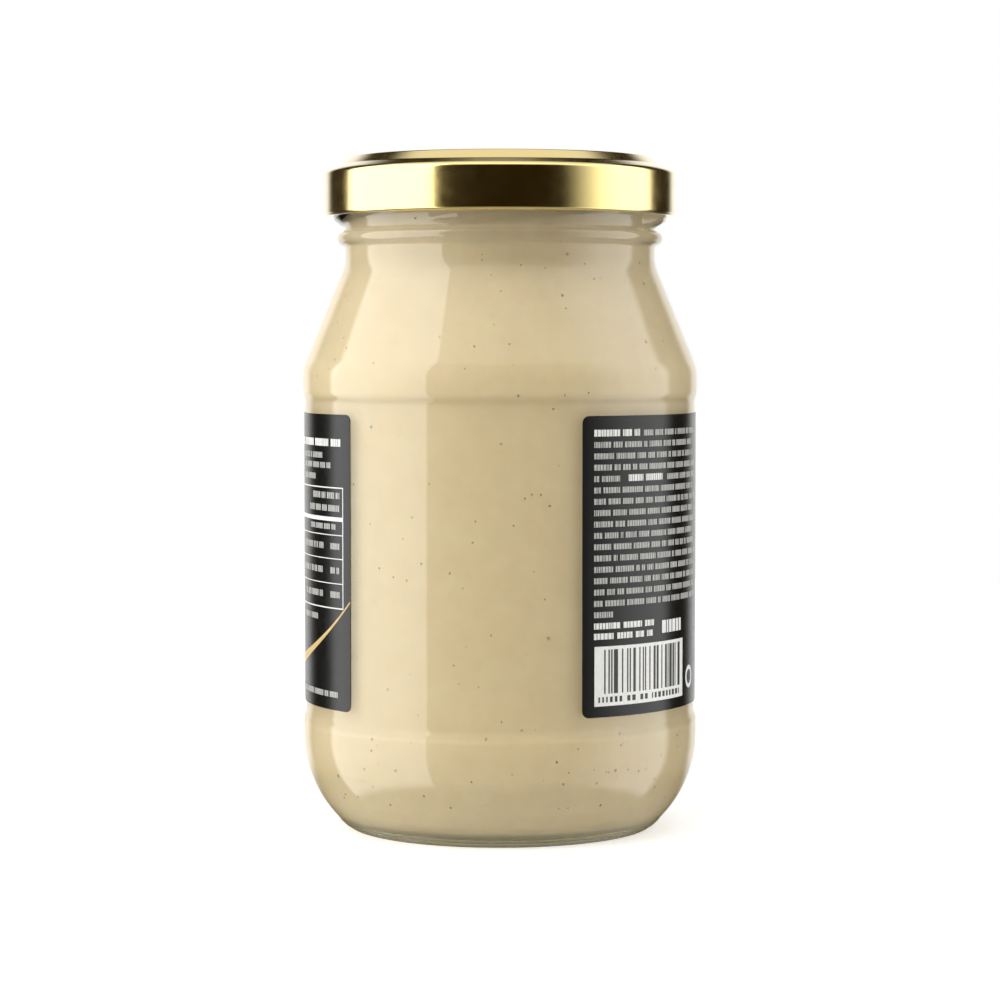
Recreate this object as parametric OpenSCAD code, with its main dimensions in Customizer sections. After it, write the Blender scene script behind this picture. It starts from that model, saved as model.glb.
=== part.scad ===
// Glass jar of mayonnaise with a twist-off metal lid and a wraparound paper label.
// Millimetres, Z up. The jar stands on z = 0 and its axis is the Z axis.
// The gap between the two ends of the label faces -Y.

/* [Jar body] */
// Diameter of the two rolling bands, above and below the label
body_d = 74; // [60:0.1:90]
// Height of the glass, from the foot to the rim
jar_h = 125; // [104:0.1:150]
// Thickness of the side wall, measured at the label panel and at the neck
wall = 2.5; // [1.8:0.1:3.2]
// Depth of the label panel below the rolling bands
panel_depth = 0.45; // [0.2:0.05:1]
// Height of the rounded heel
heel_h = 17.5; // [12:0.1:21]
// Radius of the rounded heel
heel_r = 21.8; // [18:0.1:30]
// Height of the lower rolling band
lower_band_h = 4; // [3:0.1:6]
// Height of the upper rolling band
upper_band_h = 5.2; // [3.5:0.1:7]
// Height from the foot of the shoulder to the rim
shoulder_drop = 38.9; // [32:0.1:46]

/* [Jar base] */
// Width of the ring that the jar stands on
foot_w = 2.6; // [1.8:0.1:3.5]
// Height of the hollow under the base, at its middle
push_up = 2.4; // [1.5:0.1:3.5]
// Thickness of the glass at the middle of the base
base_t = 3.8; // [2.5:0.1:4.5]

/* [Neck and thread] */
// Diameter of the neck
neck_d = 58; // [48:0.1:70]
// Height from the foot of the neck to the rim
neck_h = 19.5; // [17:0.1:24]
// Radius of the bead round the neck
bead_r = 1.35; // [0.9:0.05:1.7]
// Drop from the rim to the middle of the bead
bead_drop = 14.7; // [13.5:0.1:15.6]
// Reach of the thread ridges beyond the neck
thread_reach = 2.1; // [1.5:0.1:2.6]
// Height of a thread ridge where it leaves the neck
thread_h = 4; // [3:0.1:5]
// Drop from the rim to the middle of each thread ridge
thread_drop = 9.8; // [9:0.1:11]
// Rise of each thread ridge from end to end
thread_rise = 4; // [3:0.1:5]
// Angle that each of the four thread ridges spans
thread_span = 84; // [60:1:86]
// Angle over which each end of a ridge tapers off
thread_taper = 7; // [4:1:12]
// Angle from the front to the low end of the first ridge
thread_start = -26; // [-45:1:45]

/* [Lid] */
// Thickness of the metal
lid_t = 0.35; // [0.25:0.05:0.5]
// Gap between the lid and the glass that it fits round
lid_fit = 0.15; // [0.1:0.05:0.3]
// Width of the rolled edge
curl_w = 1.5; // [1.2:0.1:2]
// Gap between the rolled edge and the thread ridges
thread_fit = 0.4; // [0.3:0.1:0.8]
// Height of the raised ring over the rim, above the lid's shoulder
ring_h = 1.6; // [1.1:0.05:1.9]
// Width of the slope from the top of the ring down to the shoulder
ring_slope = 1.8; // [1.6:0.1:2.4]
// Reach of the foot of that slope beyond the rim
ring_reach = 1.7; // [1.5:0.1:2.2]
// Fall of the shoulder from the raised ring to the outer corner
shoulder_fall = 1.1; // [0.4:0.1:1.2]
// Depth of the sunk middle of the lid
panel_drop = 1; // [0.6:0.1:1.3]
// Diameter of the button in the middle of the lid
button_d = 24; // [16:0.5:30]
// Height of the button
button_h = 0.35; // [0.2:0.05:0.5]
// Width of each of the four lugs that catch under the thread
lug_w = 9; // [6:0.1:11]
// Thickness of each lug
lug_t = 0.6; // [0.4:0.1:1]
// Gap between the lugs and the neck
lug_fit = 1.3; // [0.8:0.05:1.6]
// Gap between the lugs and the underside of the thread ridges
lug_gap = 0.1; // [0.05:0.01:0.3]
// Angle from the high end of each ridge back to the middle of its lug
lug_back = 10; // [8:1:30]
// Height of the lugs above the rolled edge's underside
lug_lift = 0.25; // [0.1:0.05:0.5]

/* [Mayonnaise] */
// Drop from the rim to the top of the mayonnaise
headspace = 7; // [4:0.1:12]
// Gap between the mayonnaise and the glass
fill_fit = 0.05; // [0.02:0.01:0.2]

/* [Label] */
// Length of the label round the jar
label_len = 185.3; // [150:0.1:210]
// Thickness of the label
label_t = 0.15; // [0.1:0.01:0.3]
// Gap between the label and the glass
label_fit = 0.02; // [0.01:0.01:0.05]
// Bare glass between the label and the panel's upper edge
label_top_gap = 3; // [1:0.1:6]
// Bare glass between the label and the panel's lower edge
label_bottom_gap = 2.6; // [1:0.1:6]
// Angle from the front to the label's right-hand end
label_start = 23.5; // [15:0.5:40]
// Radius of the label's corners
label_corner = 1.3; // [0.5:0.1:3]

/* [Hidden] */
$fn = 128;
arc_step = 12; // angle between the points of an arc
thread_count = 4;

// Jar: radii and heights
body_r = body_d / 2;
panel_r = body_r - panel_depth;
neck_r = neck_d / 2;
shoulder_z = jar_h - shoulder_drop;
neck_z = jar_h - neck_h;
bead_z = jar_h - bead_drop;
panel_z0 = heel_h + lower_band_h;
panel_z1 = shoulder_z - upper_band_h;
inner_r = panel_r - wall;
mouth_r = neck_r - wall;
step_slope = 1.2; // height over which the glass steps out to a band
heel_centre_r = body_r - heel_r;
foot_r = heel_centre_r + sqrt(pow(heel_r, 2) - pow(heel_h, 2));
foot_slope = 1.3; // height of the slope inside the foot ring
hollow_r = foot_r - foot_w - 2 * foot_slope;
inner_heel_r = heel_r - (body_r - inner_r);
floor_z = base_t + 0.2; // inside, at the edge of the base
floor_a = asin((heel_h - floor_z) / inner_heel_r); // from the level down to the floor, round the inner heel
floor_r = heel_centre_r + sqrt(pow(inner_heel_r, 2) - pow(heel_h - floor_z, 2));
rim_step = 0.3; // the rim is this much narrower than the neck
rim_r = neck_r - rim_step;
rim_round = 0.95;
rim_land_h = 2.6; // height of the narrower rim

// Thread: tilt of the ridges, height of their middle and half height of their crest
thread_tilt = atan(thread_rise / (2 * neck_r * sin(thread_span / 2)));
thread_z = jar_h - thread_drop;
crest_half = thread_h * 0.15;
flank_slope = (thread_h / 2 - crest_half) / thread_reach;

// Lid: radii and heights, hung from the lugs that catch under the ridges
lid_r = neck_r + thread_reach + thread_fit + curl_w;
lug_r = neck_r + lug_fit;
lug_sweep = lug_w / lid_r * 180 / PI;
lug_start = thread_start + thread_span - lug_back;
ridge_z = thread_z + neck_r * sin(thread_span / 2 - lug_back - lug_sweep / 2) * tan(thread_tilt);
ridge_half = thread_h / 2 - flank_slope * lug_fit;
lug_z = ridge_z - ridge_half - lug_gap - lug_t;
lid_z = lug_z - lug_lift;
lid_top = jar_h + lid_t;
ring_foot_r = rim_r + ring_reach;
ring_top_r = ring_foot_r - ring_slope;
ring_turn = lid_t * 0.4; // how much nearer the axis the underside turns than the top
shoulder_top = lid_top - ring_h;
sunk_slope = 1; // width of the slope down into the sunk middle
sunk_r = mouth_r - sunk_slope - lid_fit - lid_t;

// Label: radii, heights and angle
label_r = panel_r + label_fit;
label_z0 = panel_z0 + label_bottom_gap;
label_h = panel_z1 - label_top_gap - label_z0;
label_sweep = label_len / (label_r + label_t) * 180 / PI;

// The front of the jar, as an angle from +X
front = -90;

// Points of an arc about [x, y] from angle a0 to angle a1
function arc(x, y, r, a0, a1) =
    let (n = ceil(abs(a1 - a0) / arc_step))
    [for (i = [0:n]) let (a = a0 + (a1 - a0) * i / n) [x + r * cos(a), y + r * sin(a)]];

// The turn from direction a to direction b, the short way round
function turn(a, b) = let (d = (b - a) % 360) d > 180 ? d - 360 : d < -180 ? d + 360 : d;

// A corner q between p and s, rounded to the radius q[2] where its two sides leave room
function round_corner(p, q, s) =
    let (
        pq = [p[0] - q[0], p[1] - q[1]],
        sq = [s[0] - q[0], s[1] - q[1]],
        u = pq / norm(pq),
        v = sq / norm(sq),
        half = acos(u * v) / 2,
        room = 0.45 * min(norm(pq), norm(sq)),
        t = min(q[2] / tan(half), room),
        r = t * tan(half),
        middle = (u + v) / norm(u + v) * r / sin(half),
        centre = [q[0] + middle[0], q[1] + middle[1]],
        a0 = atan2(q[1] + u[1] * t - centre[1], q[0] + u[0] * t - centre[0]),
        a1 = atan2(q[1] + v[1] * t - centre[1], q[0] + v[0] * t - centre[0])
    )
    arc(centre[0], centre[1], r, a0, a0 + turn(a0, a1));

// An outline from a list of corners: [x, y] stays sharp and [x, y, radius] is rounded
function outline(c) =
    let (n = len(c))
    [for (i = [0:n - 1]) each
        len(c[i]) == 2 ? [c[i]] : round_corner(c[(i + n - 1) % n], c[i], c[(i + 1) % n])];

// The inside of the glass from the middle of the base up to height top, kept gap clear of the wall
function inside(gap, top) = [
    [0, push_up + base_t + gap],
    [floor_r * 0.7, floor_z + 0.4 + gap, 20],
    [floor_r - gap, floor_z + gap, 4],
    for (p = arc(heel_centre_r, heel_h, inner_heel_r - gap, 12 - floor_a, 0)) p,
    [inner_r - gap, shoulder_z, 9],
    [mouth_r - gap, neck_z, 8],
    [mouth_r - gap, top, gap == 0 ? rim_round : 0.2],
];

module glass_jar() {
    color([0.9, 0.94, 0.92, 0.35]) {
        rotate_extrude()
            polygon(outline([
                // under the base and the foot ring
                [0, push_up],
                [hollow_r, foot_slope, 3],
                [foot_r - foot_w, 0, 0.6],
                [foot_r, 0, 1.2],
                // heel and lower band
                for (p = arc(heel_centre_r, heel_h, heel_r, 4 - asin(heel_h / heel_r), 0)) p,
                [body_r, panel_z0 - step_slope / 2, 2],
                [panel_r, panel_z0 + step_slope / 2, 2],
                // label panel, upper band and shoulder
                [panel_r, panel_z1 - step_slope / 2, 2],
                [body_r, panel_z1 + step_slope / 2, 2],
                [body_r, shoulder_z, 7],
                [neck_r, neck_z, 9],
                // neck bead
                [neck_r, bead_z - bead_r - 0.3, 0.4],
                for (p = arc(neck_r + 0.1, bead_z, bead_r, -75, 75)) p,
                [neck_r, bead_z + bead_r + 0.3, 0.4],
                // rim
                [neck_r, jar_h - rim_land_h, 0.4],
                [rim_r, jar_h - rim_land_h + rim_step, 0.4],
                [rim_r, jar_h, rim_round],
                // inside, from the mouth down to the base
                for (i = [len(inside(0, jar_h)) - 1:-1:0]) inside(0, jar_h)[i],
            ]));
        for (k = [0:thread_count - 1])
            rotate([0, 0, front + thread_start + thread_span / 2 + k * 360 / thread_count])
                thread_ridge();
    }
}

// One ridge of the thread, low at its clockwise end, centred on the X axis
module thread_ridge() {
    root = 0.5; // how far the ridge is rooted in the wall
    root_half = thread_h / 2 + root * flank_slope;
    crest_a = thread_span / 2 - thread_taper;
    // one end of the plan, from the root to far beyond the crest: radius and angle
    ends = [[neck_r - root, thread_span / 2], [neck_r + thread_reach, crest_a], [2 * neck_r, crest_a]];
    translate([0, 0, thread_z])
        rotate([thread_tilt, 0, 0])
            intersection() {
                rotate([0, 0, -thread_span / 2])
                    rotate_extrude(angle = thread_span)
                        polygon(outline([
                            [neck_r - root, -root_half],
                            [neck_r + thread_reach, -crest_half, 0.5],
                            [neck_r + thread_reach, crest_half, 0.5],
                            [neck_r - root, root_half],
                        ]));
                // plan of the ridge, which tapers off at both ends
                linear_extrude(height = 2 * thread_h, center = true)
                    polygon([
                        [0, 0],
                        for (side = [-1, 1], p = side < 0 ? ends : [ends[2], ends[1], ends[0]])
                            [p[0] * cos(p[1]), side * p[0] * sin(p[1])],
                    ]);
            }
}

module mayonnaise() {
    color([0.93, 0.86, 0.7])
        rotate_extrude()
            polygon(outline(concat(
                inside(fill_fit, jar_h - headspace),
                [[0, jar_h - headspace]]
            )));
}

module lid() {
    color([0.83, 0.68, 0.36]) {
        rotate_extrude()
            polygon(outline([
                // top: button, sunk middle, raised ring, shoulder and skirt
                [0, lid_top - panel_drop + button_h],
                [button_d / 2 - 1.5, lid_top - panel_drop + button_h, 3],
                [button_d / 2, lid_top - panel_drop, 3],
                [sunk_r, lid_top - panel_drop, 0.6],
                [sunk_r + sunk_slope, lid_top, 0.7],
                [ring_top_r, lid_top, 1],
                [ring_foot_r, shoulder_top, 1],
                [lid_r, shoulder_top - shoulder_fall, 1],
                // rolled edge
                [lid_r, lid_z, 0.7],
                [lid_r - curl_w, lid_z, 0.7],
                [lid_r - curl_w, lid_z + curl_w, 0.5],
                [lid_r - lid_t, lid_z + curl_w + 0.3, 0.2],
                // underside
                [lid_r - lid_t, shoulder_top - shoulder_fall - lid_t, 0.7],
                [ring_foot_r - ring_turn, shoulder_top - lid_t, 0.8],
                [ring_top_r - ring_turn, jar_h, 0.3],
                [sunk_r + sunk_slope + lid_t, jar_h, 0.3],
                [sunk_r + lid_t, lid_top - panel_drop - lid_t, 0.4],
                [button_d / 2, lid_top - panel_drop - lid_t, 3],
                [button_d / 2 - 1.5, lid_top - panel_drop + button_h - lid_t, 3],
                [0, lid_top - panel_drop + button_h - lid_t],
            ]));
        for (k = [0:thread_count - 1])
            rotate([0, 0, front + lug_start + k * 360 / thread_count])
                lug();
    }
}

// One lug, centred on the X axis, reaching in from the rolled edge
module lug() {
    root = curl_w / 2; // how far the lug is rooted in the rolled edge
    rotate([0, 0, -lug_sweep / 2])
        rotate_extrude(angle = lug_sweep)
            translate([lug_r, lug_z])
                square([lid_r - root - lug_r, lug_t]);
}

module label() {
    color([0.11, 0.11, 0.1])
        rotate([0, 0, front + label_start])
            difference() {
                rotate_extrude(angle = label_sweep)
                    translate([label_r, label_z0])
                        square([label_t, label_h]);
                for (top = [0, 1]) {
                    label_corner_cut(top);
                    rotate([0, 0, label_sweep])
                        mirror([0, 1, 0])
                            label_corner_cut(top);
                }
            }
}

// What is cut away at a corner of the label's start, at the bottom (0) or the top (1)
module label_corner_cut(top) {
    over = 1; // how far the cut passes the label on every side
    translate([label_r - over, 0, label_z0 + top * label_h])
        mirror([0, 0, top])
            rotate([90, 0, 90])
                linear_extrude(height = label_t + 2 * over)
                    difference() {
                        translate([-over, -over])
                            square(label_corner + over);
                        translate([label_corner, label_corner])
                            circle(r = label_corner * 1.01); // a little over, so that it crosses both edges
                    }
}

glass_jar();
mayonnaise();
lid();
label();
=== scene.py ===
"""Looks of a glass jar of mayonnaise with a twist-off lid and a wraparound label.

Lengths are in millimetres until a mesh is made, where MM turns them into metres.
Angles round the jar are in degrees from the front (-Y) towards +X.
An outline is a list of (radius, height) points, and a "corner" in one is
(radius, height) when sharp or (radius, height, rounding) when rounded.
"""
import math
import random

import bpy
import numpy as np
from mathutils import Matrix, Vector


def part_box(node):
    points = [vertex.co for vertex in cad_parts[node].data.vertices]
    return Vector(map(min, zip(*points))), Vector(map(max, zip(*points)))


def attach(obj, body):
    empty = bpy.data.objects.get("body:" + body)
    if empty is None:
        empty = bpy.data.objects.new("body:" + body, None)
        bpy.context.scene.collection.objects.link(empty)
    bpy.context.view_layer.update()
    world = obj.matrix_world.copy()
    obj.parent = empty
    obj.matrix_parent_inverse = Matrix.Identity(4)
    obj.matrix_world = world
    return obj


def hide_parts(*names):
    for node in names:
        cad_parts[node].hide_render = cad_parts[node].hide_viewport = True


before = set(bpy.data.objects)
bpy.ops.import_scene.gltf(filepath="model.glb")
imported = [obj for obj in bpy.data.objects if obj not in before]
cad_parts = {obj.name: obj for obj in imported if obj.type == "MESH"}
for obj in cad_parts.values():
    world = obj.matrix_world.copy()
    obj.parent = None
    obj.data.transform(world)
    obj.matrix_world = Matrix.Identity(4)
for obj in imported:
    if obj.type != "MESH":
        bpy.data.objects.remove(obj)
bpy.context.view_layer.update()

MM = 0.001
FULL_TURN = 360.0


def node_box(node):
    """Lowest and highest corner of a CAD node."""
    low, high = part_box(node)
    return [v / MM for v in low], [v / MM for v in high]


# ---------------------------------------------------------------- sizes

# Jar, from the frame
GLASS_HIGH = node_box("glass_jar")[1]
BODY_R = GLASS_HIGH[0]
JAR_H = GLASS_HIGH[2]

# Jar body
WALL = 2.5
PANEL_DEPTH = 0.45
HEEL_H = 17.5
HEEL_R = 21.8
LOWER_BAND_H = 4.0
UPPER_BAND_H = 5.2
SHOULDER_DROP = 38.9
PANEL_R = BODY_R - PANEL_DEPTH
PANEL_Z0 = HEEL_H + LOWER_BAND_H
SHOULDER_Z = JAR_H - SHOULDER_DROP
PANEL_Z1 = SHOULDER_Z - UPPER_BAND_H
STEP_SLOPE = 1.2
STEP_ROUND = 2.0
SHOULDER_ROUND = 7.0
HEEL_CENTRE_R = BODY_R - HEEL_R
# Degrees of the heel's arc, at its low end, that the rounding of the foot takes up
HEEL_SKIP = 4.0

# Jar base
FOOT_W = 2.6
PUSH_UP = 2.4
BASE_T = 3.8
FOOT_SLOPE = 1.3
FOOT_INNER_ROUND = 0.6
FOOT_OUTER_ROUND = 1.2
HOLLOW_ROUND = 3.0
FOOT_R = HEEL_CENTRE_R + math.sqrt(HEEL_R ** 2 - HEEL_H ** 2)
HOLLOW_R = FOOT_R - FOOT_W - 2 * FOOT_SLOPE
INNER_R = PANEL_R - WALL
INNER_HEEL_R = HEEL_R - (BODY_R - INNER_R)
INNER_HEEL_SKIP = 12.0
INNER_SHOULDER_ROUND = 9.0
# The floor inside: its height at the wall, and a slight crown towards the middle
FLOOR_RISE = 0.2
FLOOR_ROUND = 4.0
CROWN_RISE = 0.4
CROWN_SHARE = 0.7
CROWN_ROUND = 20.0
FLOOR_Z = BASE_T + FLOOR_RISE
FLOOR_A = math.degrees(math.asin((HEEL_H - FLOOR_Z) / INNER_HEEL_R))
FLOOR_R = HEEL_CENTRE_R + math.sqrt(INNER_HEEL_R ** 2 - (HEEL_H - FLOOR_Z) ** 2)

# Neck, bead and rim
NECK_R = 29.0
NECK_H = 19.5
NECK_Z = JAR_H - NECK_H
NECK_ROUND = 9.0
NECK_DETAIL_ROUND = 0.4
MOUTH_R = NECK_R - WALL
MOUTH_ROUND = 8.0
BEAD_R = 1.35
BEAD_DROP = 14.7
BEAD_Z = JAR_H - BEAD_DROP
BEAD_REACH = 0.1
BEAD_FOOT = 0.3
BEAD_TURN = 75.0
RIM_STEP = 0.3
RIM_R = NECK_R - RIM_STEP
RIM_ROUND = 0.95
RIM_LAND_H = 2.6

# Thread
THREAD_COUNT = 4
THREAD_REACH = 2.1
THREAD_HALF = 2.0
THREAD_CREST_HALF = 0.6
THREAD_DROP = 9.8
THREAD_Z = JAR_H - THREAD_DROP
THREAD_SPAN = 84.0
THREAD_TAPER = 12.0
THREAD_START = -26.0
THREAD_RISE = 4.0

# Lid, from the frame where the frame gives it
LID_LOW, LID_HIGH = node_box("lid")
LID_R = LID_HIGH[0]
LID_Z = LID_LOW[2]
LID_TOP = LID_HIGH[2]
LID_T = 0.35
LID_FIT = 0.15
LID_EDGE_ROUND = 0.7
CURL_W = 1.5
CURL_TUCK = 0.3
RING_REACH = 1.7
RING_SLOPE = 1.8
RING_H = 1.6
RING_ROUND = 1.0
RING_FOOT_R = RIM_R + RING_REACH
RING_TOP_R = RING_FOOT_R - RING_SLOPE
RING_TURN = LID_T * 0.4
SHOULDER_TOP = LID_TOP - RING_H
SHOULDER_FALL = 1.1
PANEL_DROP = 1.0
SUNK_SLOPE = 1.0
SUNK_R = MOUTH_R - SUNK_SLOPE - LID_FIT - LID_T
BUTTON_R = 12.0
BUTTON_H = 0.35
BUTTON_SLOPE = 1.5
BUTTON_ROUND = 3.0
LUG_COUNT = 4
LUG_W = 9.0
LUG_T = 0.6
LUG_FIT = 1.3
LUG_LIFT = 0.25
LUG_BACK = 10.0
LUG_R = NECK_R + LUG_FIT
LUG_Z = LID_Z + LUG_LIFT
LUG_ANGLE = THREAD_START + THREAD_SPAN - LUG_BACK

# Mayonnaise, which reaches into the glass by the overlap
FILL_TOP = node_box("mayonnaise")[1][2]
FILL_TOP_ROUND = 0.2
FILL_OVERLAP = 0.3

# Label, from the frame where the frame gives it. LABEL_START is an angle, and LABEL_LEN
# is the length of the paper.
LABEL_LOW, LABEL_HIGH = node_box("label")
LABEL_Z0 = LABEL_LOW[2]
LABEL_Z1 = LABEL_HIGH[2]
LABEL_T = 0.15
LABEL_FIT = 0.02
LABEL_R = PANEL_R + LABEL_FIT + LABEL_T
LABEL_START = 23.5
LABEL_LEN = 185.3
LABEL_CORNER = 1.3
PRINT_T = 0.02
PRINT_STEP = 1.0

# Fineness of the meshes: degrees for each stretch of a rounding above a radius, of the
# heel and of the bead, columns round the jar, and the longest stretch of the lid
LARGE_ROUND = 3.0
LARGE_STEP = 5.0
MIDDLE_ROUND = 0.7
MIDDLE_STEP = 12.0
SMALL_STEP = 18.0
HEEL_STEP = 4.0
BEAD_STEP = 15.0
GLASS_COLUMNS = 384
FILL_COLUMNS = 256
LID_COLUMNS = 320
LID_ROW = 2.0


# ---------------------------------------------------------------- outlines

def arc(x, z, radius, start, end, step=LARGE_STEP):
    """Points of an arc about (x, z) from angle start to angle end."""
    count = max(1, math.ceil(abs(end - start) / step))
    angles = [math.radians(start + (end - start) * i / count) for i in range(count + 1)]
    return [(x + radius * math.cos(a), z + radius * math.sin(a)) for a in angles]


def rounding_step(radius):
    """Degrees for each stretch of a rounding. Small roundings are coarser."""
    if radius > LARGE_ROUND:
        return LARGE_STEP
    return MIDDLE_STEP if radius > MIDDLE_ROUND else SMALL_STEP


def round_corner(before, corner, after):
    """Points of the rounding at a corner, as large as its two sides leave room for."""
    q = np.array(corner[:2])
    to_before = np.array(before[:2]) - q
    to_after = np.array(after[:2]) - q
    len_before = np.linalg.norm(to_before)
    len_after = np.linalg.norm(to_after)
    u = to_before / len_before
    v = to_after / len_after
    half = math.acos(max(-1.0, min(1.0, float(u @ v)))) / 2
    room = 0.45 * min(len_before, len_after)
    along = min(corner[2] / math.tan(half), room)
    radius = along * math.tan(half)
    centre = q + (u + v) / np.linalg.norm(u + v) * radius / math.sin(half)
    first = q + u * along - centre
    last = q + v * along - centre
    start = math.degrees(math.atan2(first[1], first[0]))
    end = math.degrees(math.atan2(last[1], last[0]))
    turn = (end - start + 180) % FULL_TURN - 180
    return arc(centre[0], centre[1], radius, start, start + turn, rounding_step(radius))


def outline(corners):
    """An outline from a list of corners."""
    points = []
    count = len(corners)
    for i, corner in enumerate(corners):
        if len(corner) == 2:
            points.append(corner)
        else:
            points += round_corner(corners[i - 1], corner, corners[(i + 1) % count])
    return points


def fill_in(points, longest):
    """Adds points to an outline, so that no stretch is longer than longest(radius, height).

    Long stretches also get a point near each end, which keeps their middle flat when smooth.
    """
    edge = 0.25
    full = []
    for (x0, z0), (x1, z1) in zip(points, points[1:]):
        length = math.hypot(x1 - x0, z1 - z0)
        if length < 1e-6:
            continue
        limit = longest((x0 + x1) / 2, (z0 + z1) / 2)
        count = max(1, math.ceil(length / limit))
        shares = [i / count for i in range(count)]
        if length / count > 8 * edge:
            shares = [0.0, edge / length] + shares[1:] + [1 - edge / length]
        full += [(x0 + (x1 - x0) * s, z0 + (z1 - z0) * s) for s in shares]
    full.append(points[-1])
    return full


def inside(gap, top, top_round):
    """The inside of the glass, from the middle of the base up to a height, gap clear of the wall."""
    heel = arc(HEEL_CENTRE_R, HEEL_H, INNER_HEEL_R - gap, INNER_HEEL_SKIP - FLOOR_A, 0)
    return [
        (0.0, PUSH_UP + BASE_T + gap),
        (FLOOR_R * CROWN_SHARE, FLOOR_Z + CROWN_RISE + gap, CROWN_ROUND),
        (FLOOR_R - gap, FLOOR_Z + gap, FLOOR_ROUND),
        *heel,
        (INNER_R - gap, SHOULDER_Z, INNER_SHOULDER_ROUND),
        (MOUTH_R - gap, NECK_Z, MOUTH_ROUND),
        (MOUTH_R - gap, top, top_round),
    ]


# ---------------------------------------------------------------- meshes

def place(radius, height, angle):
    """A point at a radius, a height and an angle round the jar, in metres. Arrays work too."""
    turn = np.radians(angle)
    return radius * np.sin(turn) * MM, -radius * np.cos(turn) * MM, height * MM


def make_object(name, points, faces, material, smooth=True):
    """A mesh object from points in metres."""
    mesh = bpy.data.meshes.new(name)
    mesh.from_pydata([tuple(p) for p in points], [], faces)
    mesh.polygons.foreach_set("use_smooth", [smooth] * len(mesh.polygons))
    mesh.materials.append(material)
    mesh.validate()
    piece = bpy.data.objects.new(name, mesh)
    bpy.context.scene.collection.objects.link(piece)
    return piece


def grid_faces(rows, columns, wrap_rows, wrap_columns):
    """Quads between the points of a grid, which is stored row by row."""
    faces = []
    for i in range(rows if wrap_rows else rows - 1):
        below = i * columns
        above = (i + 1) % rows * columns
        for j in range(columns if wrap_columns else columns - 1):
            k = (j + 1) % columns
            faces.append((below + j, below + k, above + k, above + j))
    return faces


def lathe(name, points, columns, material, shape=None):
    """An outline turned round the jar's axis.

    Where both ends of the outline are on the axis, they become single points. Otherwise
    the outline is a closed ring. shape(radius, height, angle) may move the points.
    """
    on_axis = points[0][0] < 1e-6
    ring = points[1:-1] if on_axis else points
    radius = np.array([p[0] for p in ring])[:, None] * np.ones(columns)
    height = np.array([p[1] for p in ring])[:, None] * np.ones(columns)
    angle = np.arange(columns)[None, :] * (FULL_TURN / columns) * np.ones((len(ring), 1))
    if shape:
        radius, height = shape(radius, height, angle)
    x, y, z = place(radius, height, angle)
    spots = np.stack([x, y, z], axis=-1).reshape(-1, 3).tolist()
    faces = grid_faces(len(ring), columns, not on_axis, True)
    if on_axis:
        first = len(spots)
        last = first + 1
        top_row = (len(ring) - 1) * columns
        spots.append((0, 0, points[0][1] * MM))
        spots.append((0, 0, points[-1][1] * MM))
        for j in range(columns):
            k = (j + 1) % columns
            faces.append((first, k, j))
            faces.append((last, top_row + j, top_row + k))
    return make_object(name, spots, faces, material)


def curved_block(r0, r1, angles, z0, z1):
    """Points and faces of a closed block between two radii, with z0 and z1 given at each angle."""
    spots = []
    for angle, low, high in zip(angles, z0, z1):
        for radius, height in ((r0, low), (r1, low), (r1, high), (r0, high)):
            spots.append(place(radius, height, angle))
    count = len(angles)
    faces = []
    for i in range(count - 1):
        a = 4 * i
        b = a + 4
        for j in range(4):
            k = (j + 1) % 4
            faces.append((a + j, a + k, b + k, b + j))
    end = 4 * (count - 1)
    faces.append((3, 2, 1, 0))
    faces.append((end, end + 1, end + 2, end + 3))
    return spots, faces


class Joined:
    """Many small closed shapes that become one piece."""

    def __init__(self):
        self.spots = []
        self.faces = []

    def add(self, spots, faces):
        """Adds one shape."""
        base = len(self.spots)
        self.spots += spots
        self.faces += [tuple(base + i for i in face) for face in faces]

    def piece(self, name, material, smooth=False):
        """Makes the object."""
        return make_object(name, self.spots, self.faces, material, smooth)


# ---------------------------------------------------------------- material helpers

def new_material(name):
    """A node material with only a Principled shader and an output."""
    material = bpy.data.materials.new(name)
    material.use_nodes = True
    tree = material.node_tree
    shader = tree.nodes["Principled BSDF"]
    return material, tree, shader


def set_sockets(shader, **values):
    """Sets plain values on a shader's sockets: base_color=... sets "Base Color"."""
    names = {socket.name.lower().replace(" ", "_"): socket for socket in shader.inputs}
    for name, value in values.items():
        names[name].default_value = value


def add_node(tree, kind, **values):
    """A node with its properties set."""
    node = tree.nodes.new(kind)
    for name, value in values.items():
        setattr(node, name, value)
    return node


def noise(tree, scale, detail=4.0, roughness=0.5):
    """A noise over the object's own coordinates, in metres. Returns its value output."""
    place_node = add_node(tree, "ShaderNodeTexCoord")
    node = add_node(tree, "ShaderNodeTexNoise")
    node.inputs["Scale"].default_value = scale
    node.inputs["Detail"].default_value = detail
    node.inputs["Roughness"].default_value = roughness
    tree.links.new(place_node.outputs["Object"], node.inputs["Vector"])
    return node.outputs["Fac"]


# The part of a noise's range that colours and roughness are spread over
NOISE_LOW = 0.3
NOISE_HIGH = 0.7


def ramp(tree, value, low_colour, high_colour, low=NOISE_LOW, high=NOISE_HIGH):
    """A colour that goes from one to the other as a value goes from low to high."""
    node = add_node(tree, "ShaderNodeValToRGB")
    first, last = node.color_ramp.elements
    first.position = low
    first.color = (*low_colour, 1.0)
    last.position = high
    last.color = (*high_colour, 1.0)
    tree.links.new(value, node.inputs["Fac"])
    return node.outputs["Color"]


def spread(tree, value, low, high):
    """Maps a noise to the range low to high."""
    node = add_node(tree, "ShaderNodeMapRange")
    node.inputs["From Min"].default_value = NOISE_LOW
    node.inputs["From Max"].default_value = NOISE_HIGH
    node.inputs["To Min"].default_value = low
    node.inputs["To Max"].default_value = high
    tree.links.new(value, node.inputs["Value"])
    return node.outputs["Result"]


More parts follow.
